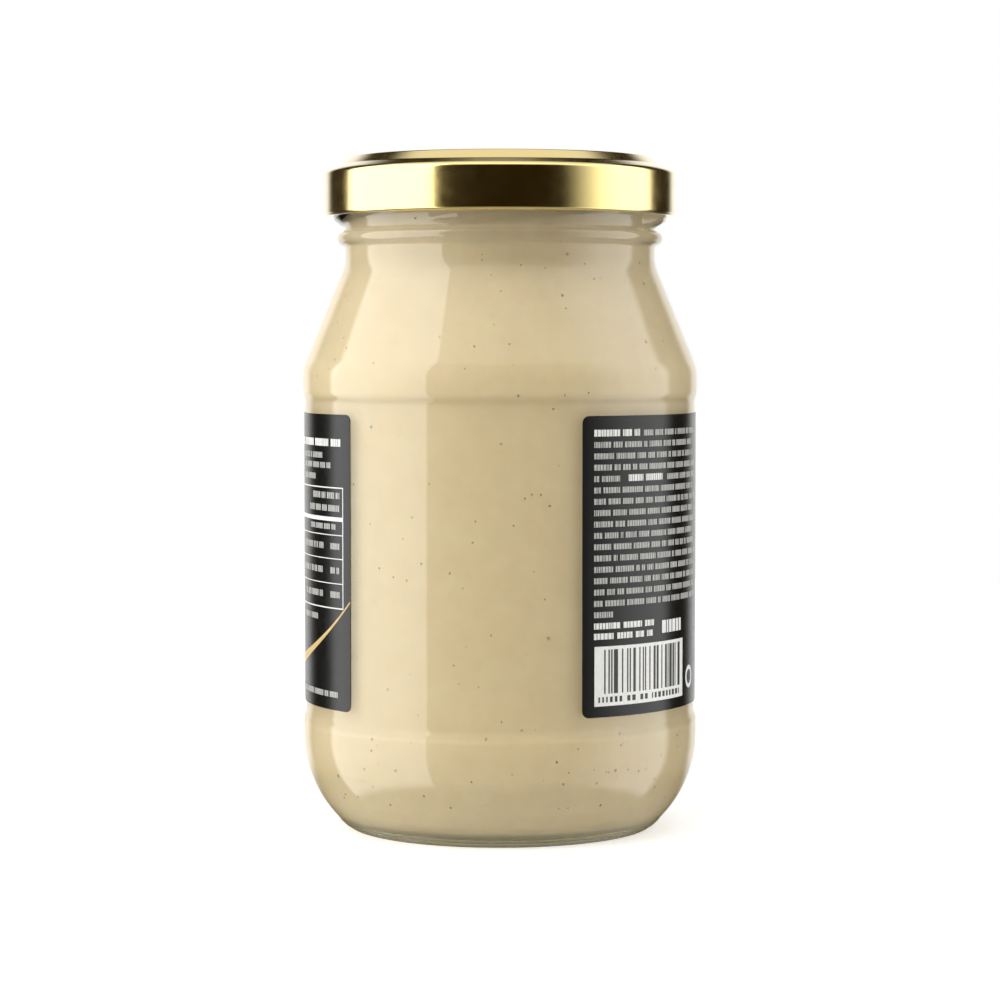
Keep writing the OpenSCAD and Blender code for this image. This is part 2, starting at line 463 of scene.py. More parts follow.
def add_bump(tree, shader, value, height):
    """Bump of a height in millimetres."""
    node = add_node(tree, "ShaderNodeBump")
    node.inputs["Strength"].default_value = 1.0
    node.inputs["Distance"].default_value = height * MM
    tree.links.new(value, node.inputs["Height"])
    tree.links.new(node.outputs["Normal"], shader.inputs["Normal"])


# ---------------------------------------------------------------- materials

def glass_material():
    """Clear flint glass. Shadow rays pass, so that light reaches the mayonnaise."""
    material, tree, shader = new_material("clear_glass")
    set_sockets(
        shader,
        base_color=(0.975, 0.985, 0.975, 1),
        roughness=0.0,
        ior=1.5,
        specular_ior_level=0.8,
        transmission_weight=1.0,
    )
    add_bump(tree, shader, noise(tree, 90, 2.0), 0.01)
    through = add_node(tree, "ShaderNodeBsdfTransparent")
    rays = add_node(tree, "ShaderNodeLightPath")
    mix = add_node(tree, "ShaderNodeMixShader")
    tree.links.new(rays.outputs["Is Shadow Ray"], mix.inputs[0])
    tree.links.new(shader.outputs["BSDF"], mix.inputs[1])
    tree.links.new(through.outputs["BSDF"], mix.inputs[2])
    out = tree.nodes["Material Output"]
    tree.links.new(mix.outputs["Shader"], out.inputs["Surface"])
    depth = add_node(tree, "ShaderNodeVolumeAbsorption")
    depth.inputs["Color"].default_value = (0.62, 0.80, 0.68, 1)
    depth.inputs["Density"].default_value = 16.0
    tree.links.new(depth.outputs["Volume"], out.inputs["Volume"])
    return material


def mayonnaise_material():
    """Dense cream with a faint mottling."""
    material, tree, shader = new_material("mayonnaise")
    set_sockets(
        shader,
        roughness=0.45,
        subsurface_weight=0.6,
        subsurface_radius=(1.0, 0.7, 0.4),
        subsurface_scale=1.2 * MM,
        ior=1.46,
    )
    mottle = noise(tree, 260, 6.0, 0.6)
    colour = ramp(tree, mottle, (0.73, 0.592, 0.362), (0.77, 0.637, 0.405))
    tree.links.new(colour, shader.inputs["Base Color"])
    add_bump(tree, shader, noise(tree, 400, 2.0), 0.012)
    return material


def speck_material(name, dark, light):
    """Ground pepper and seed husk."""
    material, tree, shader = new_material(name)
    set_sockets(shader, roughness=0.6)
    colour = ramp(tree, noise(tree, 900, 2.0), dark, light, 0.35, 0.65)
    tree.links.new(colour, shader.inputs["Base Color"])
    return material


def lid_material():
    """Tinplate under a gold lacquer."""
    material, tree, shader = new_material("gold_lacquer")
    set_sockets(
        shader,
        metallic=1.0,
        coat_weight=1.0,
        coat_roughness=0.12,
        coat_ior=1.6,
    )
    wear = noise(tree, 45, 5.0, 0.6)
    colour = ramp(tree, wear, (0.80, 0.625, 0.225), (0.83, 0.66, 0.25))
    tree.links.new(colour, shader.inputs["Base Color"])
    tree.links.new(spread(tree, noise(tree, 350, 4.0), 0.14, 0.20), shader.inputs["Roughness"])
    add_bump(tree, shader, noise(tree, 1100, 2.0), 0.004)
    return material


def label_material():
    """Satin black paper label."""
    material, tree, shader = new_material("black_label")
    set_sockets(shader, ior=1.5, specular_ior_level=0.32)
    grain = noise(tree, 700, 5.0, 0.65)
    colour = ramp(tree, grain, (0.0022, 0.0024, 0.0020), (0.0040, 0.0042, 0.0036))
    tree.links.new(colour, shader.inputs["Base Color"])
    tree.links.new(spread(tree, grain, 0.20, 0.26), shader.inputs["Roughness"])
    add_bump(tree, shader, grain, 0.004)
    return material


def ink_material(name, dark, light):
    """Print on the label, with a little unevenness in the ink."""
    material, tree, shader = new_material(name)
    set_sockets(shader, roughness=0.4)
    colour = ramp(tree, noise(tree, 1500, 3.0), dark, light)
    tree.links.new(colour, shader.inputs["Base Color"])
    return material


# Glow of the table as the camera sees it directly and through glass
FLOOR_GLOW = 0.4
FLOOR_GLOW_THROUGH = 0.3


def floor_material():
    """Plain white table, which is as bright as the studio behind it, also through the glass."""
    material, tree, shader = new_material("white_table")
    set_sockets(shader, roughness=0.7, emission_color=(1, 1, 1, 1))
    rays = add_node(tree, "ShaderNodeLightPath")
    direct = math_node(tree, "MULTIPLY", rays.outputs["Is Camera Ray"], FLOOR_GLOW)
    through = math_node(tree, "MULTIPLY", rays.outputs["Is Transmission Ray"], FLOOR_GLOW_THROUGH)
    glow = math_node(tree, "MAXIMUM", direct, through)
    tree.links.new(glow, shader.inputs["Emission Strength"])
    colour = ramp(tree, noise(tree, 8, 2.0), (0.86, 0.86, 0.86), (0.88, 0.88, 0.88))
    tree.links.new(colour, shader.inputs["Base Color"])
    return material


# ---------------------------------------------------------------- glass

# The outside of the foot: how far in from its edge it starts, and how high the fine rows
# and the marks on it may reach
FOOT_EDGE = 1.2
FOOT_FINE_Z = 2.3
FOOT_MARK_Z = 3.0
# Knurls and thin ridges that the mould leaves there
KNURLS = 96
KNURL_DEPTH = 0.2
KNURL_HALF = 0.3
KNURL_Z = 0.45
FOOT_RIDGES = (0.95, 1.65)
FOOT_RIDGE_REACH = 0.22
FOOT_RIDGE_HALF = 0.16
# Mould seams
SEAM_ANGLES = (90.0, 270.0)
SEAM_HEIGHT = 0.04
SEAM_HALF = 0.4
SEAM_LOW = 2.5
WAVE_DEPTH = 0.02
# How the thread's height and reach fall off towards its ends, as powers
THREAD_END_H = 0.6
THREAD_END_REACH = 0.7
# Longest stretch between two rows of the glass on the thread, at the foot and elsewhere
THREAD_ROW = 0.42
FOOT_ROW = 0.115
GLASS_ROW = 4.0


def soft(value):
    """A smooth step from 0 to 1."""
    t = np.clip(value, 0.0, 1.0)
    return t * t * (3 - 2 * t)


def thread_height(height, angle):
    """How far the thread stands out of the neck."""
    out = np.zeros_like(height)
    slope = THREAD_REACH / (THREAD_HALF - THREAD_CREST_HALF)
    half_span = THREAD_SPAN / 2
    tilt = THREAD_RISE / (2 * math.sin(math.radians(half_span)))
    for k in range(THREAD_COUNT):
        middle = THREAD_START + half_span + k * FULL_TURN / THREAD_COUNT
        off = (angle - middle + 180) % FULL_TURN - 180
        ridge_z = THREAD_Z + tilt * np.sin(np.radians(np.clip(off, -half_span, half_span)))
        share = np.clip((half_span - np.abs(off)) / THREAD_TAPER, 0, 1)
        half = THREAD_HALF * share ** THREAD_END_H
        flank = (half - np.abs(height - ridge_z)) * slope
        out = np.maximum(out, np.clip(flank, 0, THREAD_REACH * share ** THREAD_END_REACH))
    return out


def glass_shape(radius, height, angle):
    """Adds the thread, the foot's knurls, the mould seams and a slight waviness to the glass."""
    neck_low = BEAD_Z + BEAD_R + BEAD_FOOT + 0.1
    neck_high = JAR_H - RIM_LAND_H - 0.1
    on_neck = (radius > NECK_R - 0.1) & (height > neck_low) & (height < neck_high)
    radius = radius + np.where(on_neck, thread_height(height, angle), 0.0)
    # knurls and two thin ridges round the outside of the foot
    foot = (radius > FOOT_R - FOOT_EDGE) & (height < FOOT_MARK_Z)
    for ridge_z in FOOT_RIDGES:
        at_ridge = np.exp(-((height - ridge_z) / FOOT_RIDGE_HALF) ** 2)
        radius = radius + FOOT_RIDGE_REACH * foot * at_ridge
    at_knurls = np.exp(-((height - KNURL_Z) / KNURL_HALF) ** 2) * foot
    radius = radius - KNURL_DEPTH * at_knurls * (0.5 + 0.5 * np.cos(np.radians(angle * KNURLS)))
    # mould seams where nothing rolls or fits against the glass
    outside = (radius > MOUTH_R + 1.5) & (radius < BODY_R - 0.2) & (height > SEAM_LOW)
    clear = outside & ((height < HEEL_H) | (height > SHOULDER_Z)) & (height < BEAD_Z + 1.0)
    for seam in SEAM_ANGLES:
        off = ((angle - seam + 180) % FULL_TURN - 180) * math.pi / 180 * radius
        radius = radius + SEAM_HEIGHT * clear * np.exp(-(off / SEAM_HALF) ** 2)
    turn = np.radians(angle)
    wave = np.sin(3 * turn + height * 0.05) + np.sin(5 * turn - height * 0.11 + 1.0)
    radius = radius - WAVE_DEPTH * (radius > 20) * (height > 2) * (0.5 + 0.25 * wave)
    return radius, height


def make_glass(material):
    """The jar, one closed piece of glass."""
    heel_start = HEEL_SKIP - math.degrees(math.asin(HEEL_H / HEEL_R))
    heel = arc(HEEL_CENTRE_R, HEEL_H, HEEL_R, heel_start, 0, HEEL_STEP)
    bead = arc(NECK_R + BEAD_REACH, BEAD_Z, BEAD_R, -BEAD_TURN, BEAD_TURN, BEAD_STEP)
    corners = [
        # under the base and the foot ring
        (0.0, PUSH_UP),
        (HOLLOW_R, FOOT_SLOPE, HOLLOW_ROUND),
        (FOOT_R - FOOT_W, 0.0, FOOT_INNER_ROUND),
        (FOOT_R, 0.0, FOOT_OUTER_ROUND),
        # heel and lower band
        *heel,
        (BODY_R, PANEL_Z0 - STEP_SLOPE / 2, STEP_ROUND),
        (PANEL_R, PANEL_Z0 + STEP_SLOPE / 2, STEP_ROUND),
        # label panel, upper band and shoulder
        (PANEL_R, PANEL_Z1 - STEP_SLOPE / 2, STEP_ROUND),
        (BODY_R, PANEL_Z1 + STEP_SLOPE / 2, STEP_ROUND),
        (BODY_R, SHOULDER_Z, SHOULDER_ROUND),
        (NECK_R, NECK_Z, NECK_ROUND),
        # neck bead
        (NECK_R, BEAD_Z - BEAD_R - BEAD_FOOT, NECK_DETAIL_ROUND),
        *bead,
        (NECK_R, BEAD_Z + BEAD_R + BEAD_FOOT, NECK_DETAIL_ROUND),
        # rim
        (NECK_R, JAR_H - RIM_LAND_H, NECK_DETAIL_ROUND),
        (RIM_R, JAR_H - RIM_LAND_H + RIM_STEP, NECK_DETAIL_ROUND),
        (RIM_R, JAR_H, RIM_ROUND),
        # inside, from the mouth down to the base
        *reversed(inside(0.0, JAR_H, RIM_ROUND)),
    ]

    def longest(radius, height):
        if radius > NECK_R - 0.1 and BEAD_Z + BEAD_R < height < JAR_H - RIM_LAND_H:
            return THREAD_ROW
        if radius > FOOT_R - FOOT_EDGE and height < FOOT_FINE_Z:
            return FOOT_ROW
        return GLASS_ROW

    points = fill_in(outline(corners), longest)
    return lathe("jar_glass", points, GLASS_COLUMNS, material, glass_shape)


# ---------------------------------------------------------------- mayonnaise and specks

# The filling's side steps out at the rolling bands, so that their steps show in it
BULGE = 0.85
BULGE_SLOPE = 1.6
LOWER_BULGE_DROP = 0.9
BULGE_FADE = 20.0
FILL_FADE_Z = 8.0
FILL_FADE = 5.0
FINE_NEAR_STEP = 32.0
FILL_FINE_ROW = 0.5
FILL_ROW = 3.0


def bulge(height):
    """How much wider the inside of the glass is at a height because of the rolling bands."""
    above = (height - PANEL_Z1) / BULGE_SLOPE + 0.5
    below = (PANEL_Z0 - LOWER_BULGE_DROP - height) / BULGE_SLOPE + 0.5
    fade = soft((NECK_Z - height) / BULGE_FADE)
    return BULGE * (soft(above) * fade + soft(below))


def fill_shape(radius, height, angle):
    """Widens the side of the filling at the rolling bands."""
    side = radius > FLOOR_R
    return radius + side * bulge(height) * soft((height - FILL_FADE_Z) / FILL_FADE), height


def fill_outline():
    """The filling's outline before it is widened."""
    return outline(inside(-FILL_OVERLAP, FILL_TOP, FILL_TOP_ROUND) + [(0.0, FILL_TOP)])


def make_mayonnaise(material):
    """The filling, which reaches just into the wall of the glass."""

    def longest(radius, height):
        from_step = min(abs(height - PANEL_Z0), abs(height - PANEL_Z1))
        near_step = from_step < FINE_NEAR_STEP and radius > MOUTH_R
        return FILL_FINE_ROW if near_step else FILL_ROW

    points = fill_in(fill_outline(), longest)
    return lathe("mayonnaise_filling", points, FILL_COLUMNS, material, fill_shape)


def fill_surface(height):
    """Radius of the filling's side at a height."""
    side = [p for p in fill_outline() if p[0] > MOUTH_R - 1]
    for (x0, z0), (x1, z1) in zip(side, side[1:]):
        if z0 <= height < z1:
            share = (height - z0) / (z1 - z0)
            radius = x0 + (x1 - x0) * share
            return float(fill_shape(np.float64(radius), np.float64(height), 0)[0])
    return side[-1][0]


SPHERE_RINGS = 4
SPHERE_SIDES = 7
SPECK_LOW = 8.0
SPECK_RANGE = FILL_TOP - 2.0 - SPECK_LOW
SPECK_CROWDING = 1.6


def speck(joined, rng, centre, size):
    """One uneven grain, a rough ball."""
    spots = [(0.0, 0.0, 1.0)]
    for i in range(1, SPHERE_RINGS):
        tip = math.pi * i / SPHERE_RINGS
        for j in range(SPHERE_SIDES):
            turn = 2 * math.pi * j / SPHERE_SIDES
            across = math.sin(tip)
            spots.append((across * math.cos(turn), across * math.sin(turn), math.cos(tip)))
    spots.append((0.0, 0.0, -1.0))
    faces = []
    last = len(spots) - 1
    for j in range(SPHERE_SIDES):
        k = (j + 1) % SPHERE_SIDES
        faces.append((0, 1 + j, 1 + k))
        base = last - SPHERE_SIDES
        faces.append((last, base + k, base + j))
        for i in range(SPHERE_RINGS - 2):
            a = 1 + i * SPHERE_SIDES
            b = a + SPHERE_SIDES
            faces.append((a + j, b + j, b + k, a + k))
    stretch = [size / 2 * rng.uniform(0.85, 1.15) for _ in range(3)]
    uneven = [rng.uniform(0.8, 1.15) for _ in spots]
    points = [
        tuple(c + s * w * u * MM for c, s, w in zip(centre, spot, stretch))
        for spot, u in zip(spots, uneven)
    ]
    joined.add(points, faces)


def make_specks(name, count, low, high, seed, material):
    """Grains scattered over the side of the filling, more of them low down."""
    rng = random.Random(seed)
    joined = Joined()
    for _ in range(count):
        height = SPECK_LOW + SPECK_RANGE * rng.random() ** SPECK_CROWDING
        angle = rng.uniform(0, FULL_TURN)
        size = rng.uniform(low, high) * rng.uniform(0.7, 1.0)
        radius = fill_surface(height) - size * rng.uniform(0.0, 0.2)
        speck(joined, rng, place(radius, height, angle), size)
    return joined.piece(name, material, smooth=True)


# ---------------------------------------------------------------- lid

def make_lid(material):
    """The pressed lid: one turned sheet with a rolled edge."""
    corners = [
        # top: button, sunk middle, raised ring, shoulder and skirt
        (0.0, LID_TOP - PANEL_DROP + BUTTON_H),
        (BUTTON_R - BUTTON_SLOPE, LID_TOP - PANEL_DROP + BUTTON_H, BUTTON_ROUND),
        (BUTTON_R, LID_TOP - PANEL_DROP, BUTTON_ROUND),
        (SUNK_R, LID_TOP - PANEL_DROP, 0.6),
        (SUNK_R + SUNK_SLOPE, LID_TOP, LID_EDGE_ROUND),
        (RING_TOP_R, LID_TOP, RING_ROUND),
        (RING_FOOT_R, SHOULDER_TOP, RING_ROUND),
        (LID_R, SHOULDER_TOP - SHOULDER_FALL, RING_ROUND),
        # rolled edge
        (LID_R, LID_Z, LID_EDGE_ROUND),
        (LID_R - CURL_W, LID_Z, LID_EDGE_ROUND),
        (LID_R - CURL_W, LID_Z + CURL_W, 0.5),
        (LID_R - LID_T, LID_Z + CURL_W + CURL_TUCK, 0.2),
        # underside
        (LID_R - LID_T, SHOULDER_TOP - SHOULDER_FALL - LID_T, LID_EDGE_ROUND),
        (RING_FOOT_R - RING_TURN, SHOULDER_TOP - LID_T, 0.8),
        (RING_TOP_R - RING_TURN, JAR_H, 0.3),
        (SUNK_R + SUNK_SLOPE + LID_T, JAR_H, 0.3),
        (SUNK_R + LID_T, LID_TOP - PANEL_DROP - LID_T, 0.4),
        (BUTTON_R, LID_TOP - PANEL_DROP - LID_T, BUTTON_ROUND),
        (BUTTON_R - BUTTON_SLOPE, LID_TOP - PANEL_DROP + BUTTON_H - LID_T, BUTTON_ROUND),
        (0.0, LID_TOP - PANEL_DROP + BUTTON_H - LID_T),
    ]
    points = fill_in(outline(corners)[::-1], lambda radius, height: LID_ROW)
    return lathe("lid_shell", points, LID_COLUMNS, material)


def make_lugs(material):
    """The lugs that catch under the thread."""
    joined = Joined()
    steps = 12
    for k in range(LUG_COUNT):
        middle = LUG_ANGLE + k * FULL_TURN / LUG_COUNT
        half = math.degrees(LUG_W / LID_R) / 2
        angles = [middle - half + 2 * half * i / steps for i in range(steps + 1)]
        low = [LUG_Z] * (steps + 1)
        high = [LUG_Z + LUG_T] * (steps + 1)
        joined.add(*curved_block(LUG_R, LID_R - CURL_W / 2, angles, low, high))
    return joined.piece("lid_lugs", material)


# ---------------------------------------------------------------- label

def label_angle(along):
    """Angle round the jar at a distance along the label from its start."""
    return LABEL_START + math.degrees(along / LABEL_R)


def corner_drop(along):
    """How much a rounded corner takes off the label's height at a distance along it."""
    near = LABEL_CORNER - min(along, LABEL_LEN - along)
    if near <= 0:
        return 0.0
    return LABEL_CORNER - math.sqrt(max(0.0, LABEL_CORNER ** 2 - near ** 2))


def make_label(material):
    """The paper, which stands just off the glass."""
    rounding = [LABEL_CORNER * (1 - math.cos(math.radians(15 * i))) for i in range(6)]
    count = 200
    between = LABEL_LEN - 2 * LABEL_CORNER
    middle = [LABEL_CORNER + between * i / count for i in range(count + 1)]
    along = rounding + middle + [LABEL_LEN - s for s in reversed(rounding)]
    angles = [label_angle(s) for s in along]
    low = [LABEL_Z0 + corner_drop(s) for s in along]
    high = [LABEL_Z1 - corner_drop(s) for s in along]
    joined = Joined()
    joined.add(*curved_block(LABEL_R - LABEL_T, LABEL_R, angles, low, high))
    return joined.piece("label_paper", material)


# A word has from WORD_MIN to WORD_MAX blocks. Widths are shares of a letter.
WORD_MIN = 2
WORD_MAX = 9
BLOCK_SHARES = (0.4, 0.7, 0.9, 1.0)
SPACE_SHARE = 0.9


class Print(Joined):
    """Flat shapes of one ink on the label."""

    def patch(self, s0, s1, z0, z1, level=1):
        """A block between two distances along the label and two heights."""
        count = max(1, math.ceil((s1 - s0) / PRINT_STEP))
        self.strip([s0 + (s1 - s0) * i / count for i in range(count + 1)], z0, z1, level)

    def oval(self, s, z, half_len, half_h, level=1):
        """A filled oval about a place on the label."""
        steps = 64
        along = [s - half_len * math.cos(math.pi * i / steps) for i in range(steps + 1)]

        def reach(at):
            return half_h * math.sqrt(max(1e-4, 1 - ((at - s) / half_len) ** 2))

        self.strip(along, lambda at: z - reach(at), lambda at: z + reach(at), level)

    def strip(self, along, z0, z1, level):
        """A block through distances along the label. z0 and z1 are heights or functions of s."""
        low = [z0(s) if callable(z0) else z0 for s in along]
        high = [z1(s) if callable(z1) else z1 for s in along]
        angles = [label_angle(s) for s in along]
        self.add(*curved_block(LABEL_R - PRINT_T, LABEL_R + PRINT_T * level, angles, low, high))

    def ring(self, s, z, outer, inner):
        """A ring about a place on the label."""
        steps = 40
        spots = []
        for radius in (LABEL_R - PRINT_T, LABEL_R + PRINT_T):
            for reach in (outer, inner):
                for i in range(steps):
                    turn = 2 * math.pi * i / steps
                    angle = label_angle(s + reach * math.cos(turn))
                    spots.append(place(radius, z + reach * math.sin(turn), angle))
        faces = []
        rings = (0, steps, 3 * steps, 2 * steps)
        for a, b in zip(rings, rings[1:] + rings[:1]):
            for i in range(steps):
                j = (i + 1) % steps
                faces.append((a + i, a + j, b + j, b + i))
        self.add(spots, faces)

    def words(self, rng, s0, s1, z, height, letter=0.5, gap=0.14, level=1):
        """A line of small blocks in word-like groups, with its foot at height z."""
        s = s0
        while s < s1 - 2 * letter:
            for _ in range(rng.randint(WORD_MIN, WORD_MAX)):
                width = letter * rng.choice(BLOCK_SHARES)
                if s + width > s1:
                    return
                self.patch(s, s + width, z, z + height, level)
                s += width + gap
            s += letter * SPACE_SHARE


# Places on the label are distances from its start, or back from its end, and heights.
TEXT_LEFT = 2.3
TEXT_RIGHT = 36.0
TEXT_LAST_RIGHT = 8.0
TEXT_RAGGED = 2.0
TEXT_TOP = 74.25
TEXT_LINES = 17
TEXT_PITCH = 2.02
TEXT_H = 1.05
# Bold stretches of the text, by line
BOLD_PARTS = {0: (2.3, 13.0), 4: (9.8, 20.0)}
BOLD_H = 1.2
BOLD_LETTER = 0.6
BOLD_GAP = 0.13
# Bold lines under the text, as (from, to, foot, height, block width, gap)
BOLD_LINES = (
    (2.3, 17.6, 39.9, 1.1, 0.75, 0.15),
    (2.3, 17.6, 38.05, 1.1, 0.75, 0.15),
    (19.0, 27.6, 38.3, 2.3, 1.3, 0.3),
)


def print_text(rng, light, fine):
    """The block of small text beside the label's start, and the bold lines under it."""
    for i in range(TEXT_LINES):
        foot = TEXT_TOP - i * TEXT_PITCH
        first = TEXT_LEFT
        if i in BOLD_PARTS:
            bold_start, bold_end = BOLD_PARTS[i]
            fine.words(rng, first, bold_start - 0.5, foot, TEXT_H)
            light.words(rng, bold_start, bold_end, foot, BOLD_H, BOLD_LETTER, BOLD_GAP)
            first = bold_end + 0.6
        last = TEXT_LAST_RIGHT if i == TEXT_LINES - 1 else TEXT_RIGHT
        fine.words(rng, first, last + rng.uniform(-TEXT_RAGGED, 0.0), foot, TEXT_H)
    for line in BOLD_LINES:
        light.words(rng, *line)


# The white panel and the bars on it, as (from, to, foot, top)
BAR_PANEL = (2.4, 27.1, 26.1, 36.8)
BARS = (4.4, 25.2, 28.3, 36.2)
BAR_WIDTHS = (0.3, 0.3, 0.6, 0.9)
# The blocks under the bars, as (from, to, foot, height, block width, gap)
BAR_WORDS = (3.2, 26.2, 26.75, 1.0, 0.8, 0.5)
# The bars stand higher than the panel, in thicknesses of the ink
BAR_LEVEL = 2
# The ring beside the panel, as (place, height, outer radius, inner radius)
RING_MARK = (30.9, 29.3, 2.1, 1.35)


def print_bars(rng, light, bars):
    """A white panel with black bars over a row of blocks, and a ring beside it."""
    light.patch(*BAR_PANEL)
    s, last, foot, top = BARS
    while s < last:
        width = rng.choice(BAR_WIDTHS)
        bars.patch(s, s + width, foot, top, BAR_LEVEL)
        s += width + rng.choice(BAR_WIDTHS)
    bars.words(rng, *BAR_WORDS, BAR_LEVEL)
    light.ring(*RING_MARK)


# The table, as distances back from the label's end
TABLE_LEFT = 42.0
TABLE_RIGHT = 2.1
TABLE_TEXT_RIGHT = 2.9
TABLE_TEXT_H = 1.15
SIDE_LINE_HALF = 0.11
SIDE_LINE_Z0 = 42.6
SIDE_LINE_Z1 = 64.7
# Lines across the table, as (height, thickness)
TABLE_LINES = (
    (64.6, 0.22),
    (58.9, 0.75),
    (56.0, 0.16),
    (51.7, 0.16),
    (47.2, 0.16),
    (42.7, 0.22),
)
# Words in the table's head, as (left end, foot, letter height)
TABLE_HEAD = ((14.0, 62.6, 1.15), (16.0, 60.3, 1.15), (15.5, 57.0, 1.0))
# Rows: their feet, the left end of the figures, and both ends of the names before them
TABLE_ROWS = (53.4, 49.0, 44.6)
FIGURES_LEFT = 6.2
NAMES_LEFT = 40.5
NAMES_RIGHT = 8.8
# Bold title, as (left end, right end, foot, height, block width, gap)
TABLE_TITLE = (24.0, 2.3, 72.1, 1.35, 0.85, 0.16)
# Lines of words above and below the table, as (foot, right end)
TABLE_NOTES = ((69.9, 8.3), (68.1, 5.6), (66.0, 11.4), (40.3, 11.4), (26.4, 2.3))
NOTES_LEFT = 38.0


def print_table(rng, light, fine):
    """The table beside the label's end, with the words above and below it."""
    end = LABEL_LEN
    left = end - TABLE_LEFT
    right = end - TABLE_RIGHT
    for z, weight in TABLE_LINES:
        light.patch(left, right, z - weight / 2, z + weight / 2)
    for s in (left, right):
        light.patch(s - SIDE_LINE_HALF, s + SIDE_LINE_HALF, SIDE_LINE_Z0, SIDE_LINE_Z1)
    text_end = end - TABLE_TEXT_RIGHT
    for start, foot, height in TABLE_HEAD:
        fine.words(rng, end - start, text_end, foot, height)
    for foot in TABLE_ROWS:
        fine.words(rng, end - FIGURES_LEFT, text_end, foot, TABLE_TEXT_H)
        fine.words(rng, end - NAMES_LEFT, end - NAMES_RIGHT, foot, TABLE_TEXT_H)
    title_left, title_right, *title = TABLE_TITLE
    light.words(rng, end - title_left, end - title_right, *title)
    for foot, margin in TABLE_NOTES:
        fine.words(rng, end - NOTES_LEFT, end - margin, foot, TEXT_H)


# The curved band. It rises towards both ends and is thickest midway.
BAND_LEN = 138.0
BAND_Z = 30.3
BAND_RISE = 14.0
BAND_FADE = 14.0
BAND_MIN_H = 0.35
BAND_H = 3.8
BAND_MARGIN = 0.05
BAND_LEVEL = 0.6


def print_band():
    """The curved band of colour, which runs on across the hidden front of the label."""
    end = LABEL_LEN

    def top(s):
        back = end - s
        rise = math.exp(-back / BAND_FADE) + math.exp(-(BAND_LEN - back) / BAND_FADE)
        return BAND_Z + BAND_RISE * rise

    def low(s):
        share = min(1.0, max(0.0, (end - s) / BAND_LEN))
        return top(s) - BAND_MIN_H - BAND_H * math.sin(math.pi * share) ** 1.3

    band = Print()
    band.patch(end - BAND_LEN, end - BAND_MARGIN, low, top, BAND_LEVEL)
    return band


FIELD_Z = 57.0
FIELD_HALF_LEN = 26.0
FIELD_HALF_H = 12.5
FIELD_EDGE = 0.8
FIELD_EDGE_LEVEL = 0.5


def print_field(edge_w, level):
    """The plain oval on the hidden front, wider by an edge."""
    field = Print()
    field.oval(LABEL_LEN / 2, FIELD_Z, FIELD_HALF_LEN + edge_w, FIELD_HALF_H + edge_w, level)
    return field


def make_print(white, grey, gold, cream):
    """Everything printed on the label, one piece for each ink and place."""
    rng = random.Random(11)
    light = Print()
    fine = Print()
    bars = Print()
    print_text(rng, light, fine)
    print_bars(rng, light, bars)
    print_table(rng, light, fine)
    black = ink_material("ink_black", (0.012, 0.012, 0.012), (0.02, 0.02, 0.02))
    return [
        light.piece("label_print_white", white),
        fine.piece("label_print_fine", grey),
        bars.piece("label_print_bars", black),
        print_band().piece("label_print_band", gold),
        print_field(0.0, 1).piece("label_print_field", cream),
        print_field(FIELD_EDGE, FIELD_EDGE_LEVEL).piece("label_print_field_edge", gold),
    ]


# ---------------------------------------------------------------- stage

# In metres
CAMERA_PLACE = (0.0, -0.5707, 0.0910)
CAMERA_TARGET = (0.0, 0.0, 0.0613)
GROUND_R = 0.6
GROUND_SIDES = 96
# In millimetres
LENS = 109.3
SENSOR = 36.0


def make_camera():
    """A long lens, a little above the middle of the jar."""
    data = bpy.data.cameras.new("camera")
    data.lens = LENS
    data.sensor_width = SENSOR
    data.clip_start = 0.01
    camera = bpy.data.objects.new("camera", data)
    bpy.context.scene.collection.objects.link(camera)
    camera.location = CAMERA_PLACE
    drop = CAMERA_PLACE[2] - CAMERA_TARGET[2]
    reach = CAMERA_TARGET[1] - CAMERA_PLACE[1]
    camera.rotation_euler = (math.pi / 2 - math.atan2(drop, reach), 0, 0)
    bpy.context.scene.camera = camera


def make_floor(material):
    """A round white table top."""
    turns = [2 * math.pi * i / GROUND_SIDES for i in range(GROUND_SIDES)]
    spots = [(GROUND_R * math.cos(turn), GROUND_R * math.sin(turn), 0.0) for turn in turns]
    floor = make_object("floor", spots, [tuple(range(GROUND_SIDES))], material, smooth=False)
    floor.visible_glossy = False


# Soft boxes at the left, at the right and high in front, as
# (azimuth from, azimuth to, width of the soft edge at each, elevation from, elevation to,
# strength). All are in degrees, with azimuth from the front (-Y) towards +X.
SOFT_BOXES = [
    (-115, -43, 6, 2, -35, 52, 2.8),
    (62, 114, 48, 9, -35, 50, 2.25),
    (-85, 75, 30, 30, 38, 80, 0.7),
]
# The white behind the jar, the same way, with the azimuth counted alike on both sides
BACKDROP = (147, 220, 12, 4, -14, 28, 1.1)
# Light from above and from below, as (elevation of its edge, width of the edge, strength)
OVERHEAD = (50, 12, 1.0)
UNDERNEATH = (-30, 20, 0.4)
LOW_EDGE_W = 8
HIGH_EDGE_W = 12
# A dim warm light that is added in every direction
DARK = (0.020, 0.013, 0.004)


def edge(tree, value, middle, width, falling=False):
    """Goes from 0 to 1 over a width about a middle, or from 1 to 0 when falling."""
    node = add_node(tree, "ShaderNodeMapRange", interpolation_type="SMOOTHSTEP")
    node.inputs["From Min"].default_value = middle - width / 2
    node.inputs["From Max"].default_value = middle + width / 2
    node.inputs["To Min"].default_value = 1.0 if falling else 0.0
    node.inputs["To Max"].default_value = 0.0 if falling else 1.0
    tree.links.new(value, node.inputs["Value"])
    return node.outputs["Result"]


def math_node(tree, operation, a, b=None):
    """A math node on outputs or plain numbers."""
    node = add_node(tree, "ShaderNodeMath", operation=operation)
    for socket, value in zip(node.inputs, (a, b)):
        if value is None:
            continue
        if isinstance(value, (int, float)):
            socket.default_value = value
        else:
            tree.links.new(value, socket)
    return node.outputs["Value"]


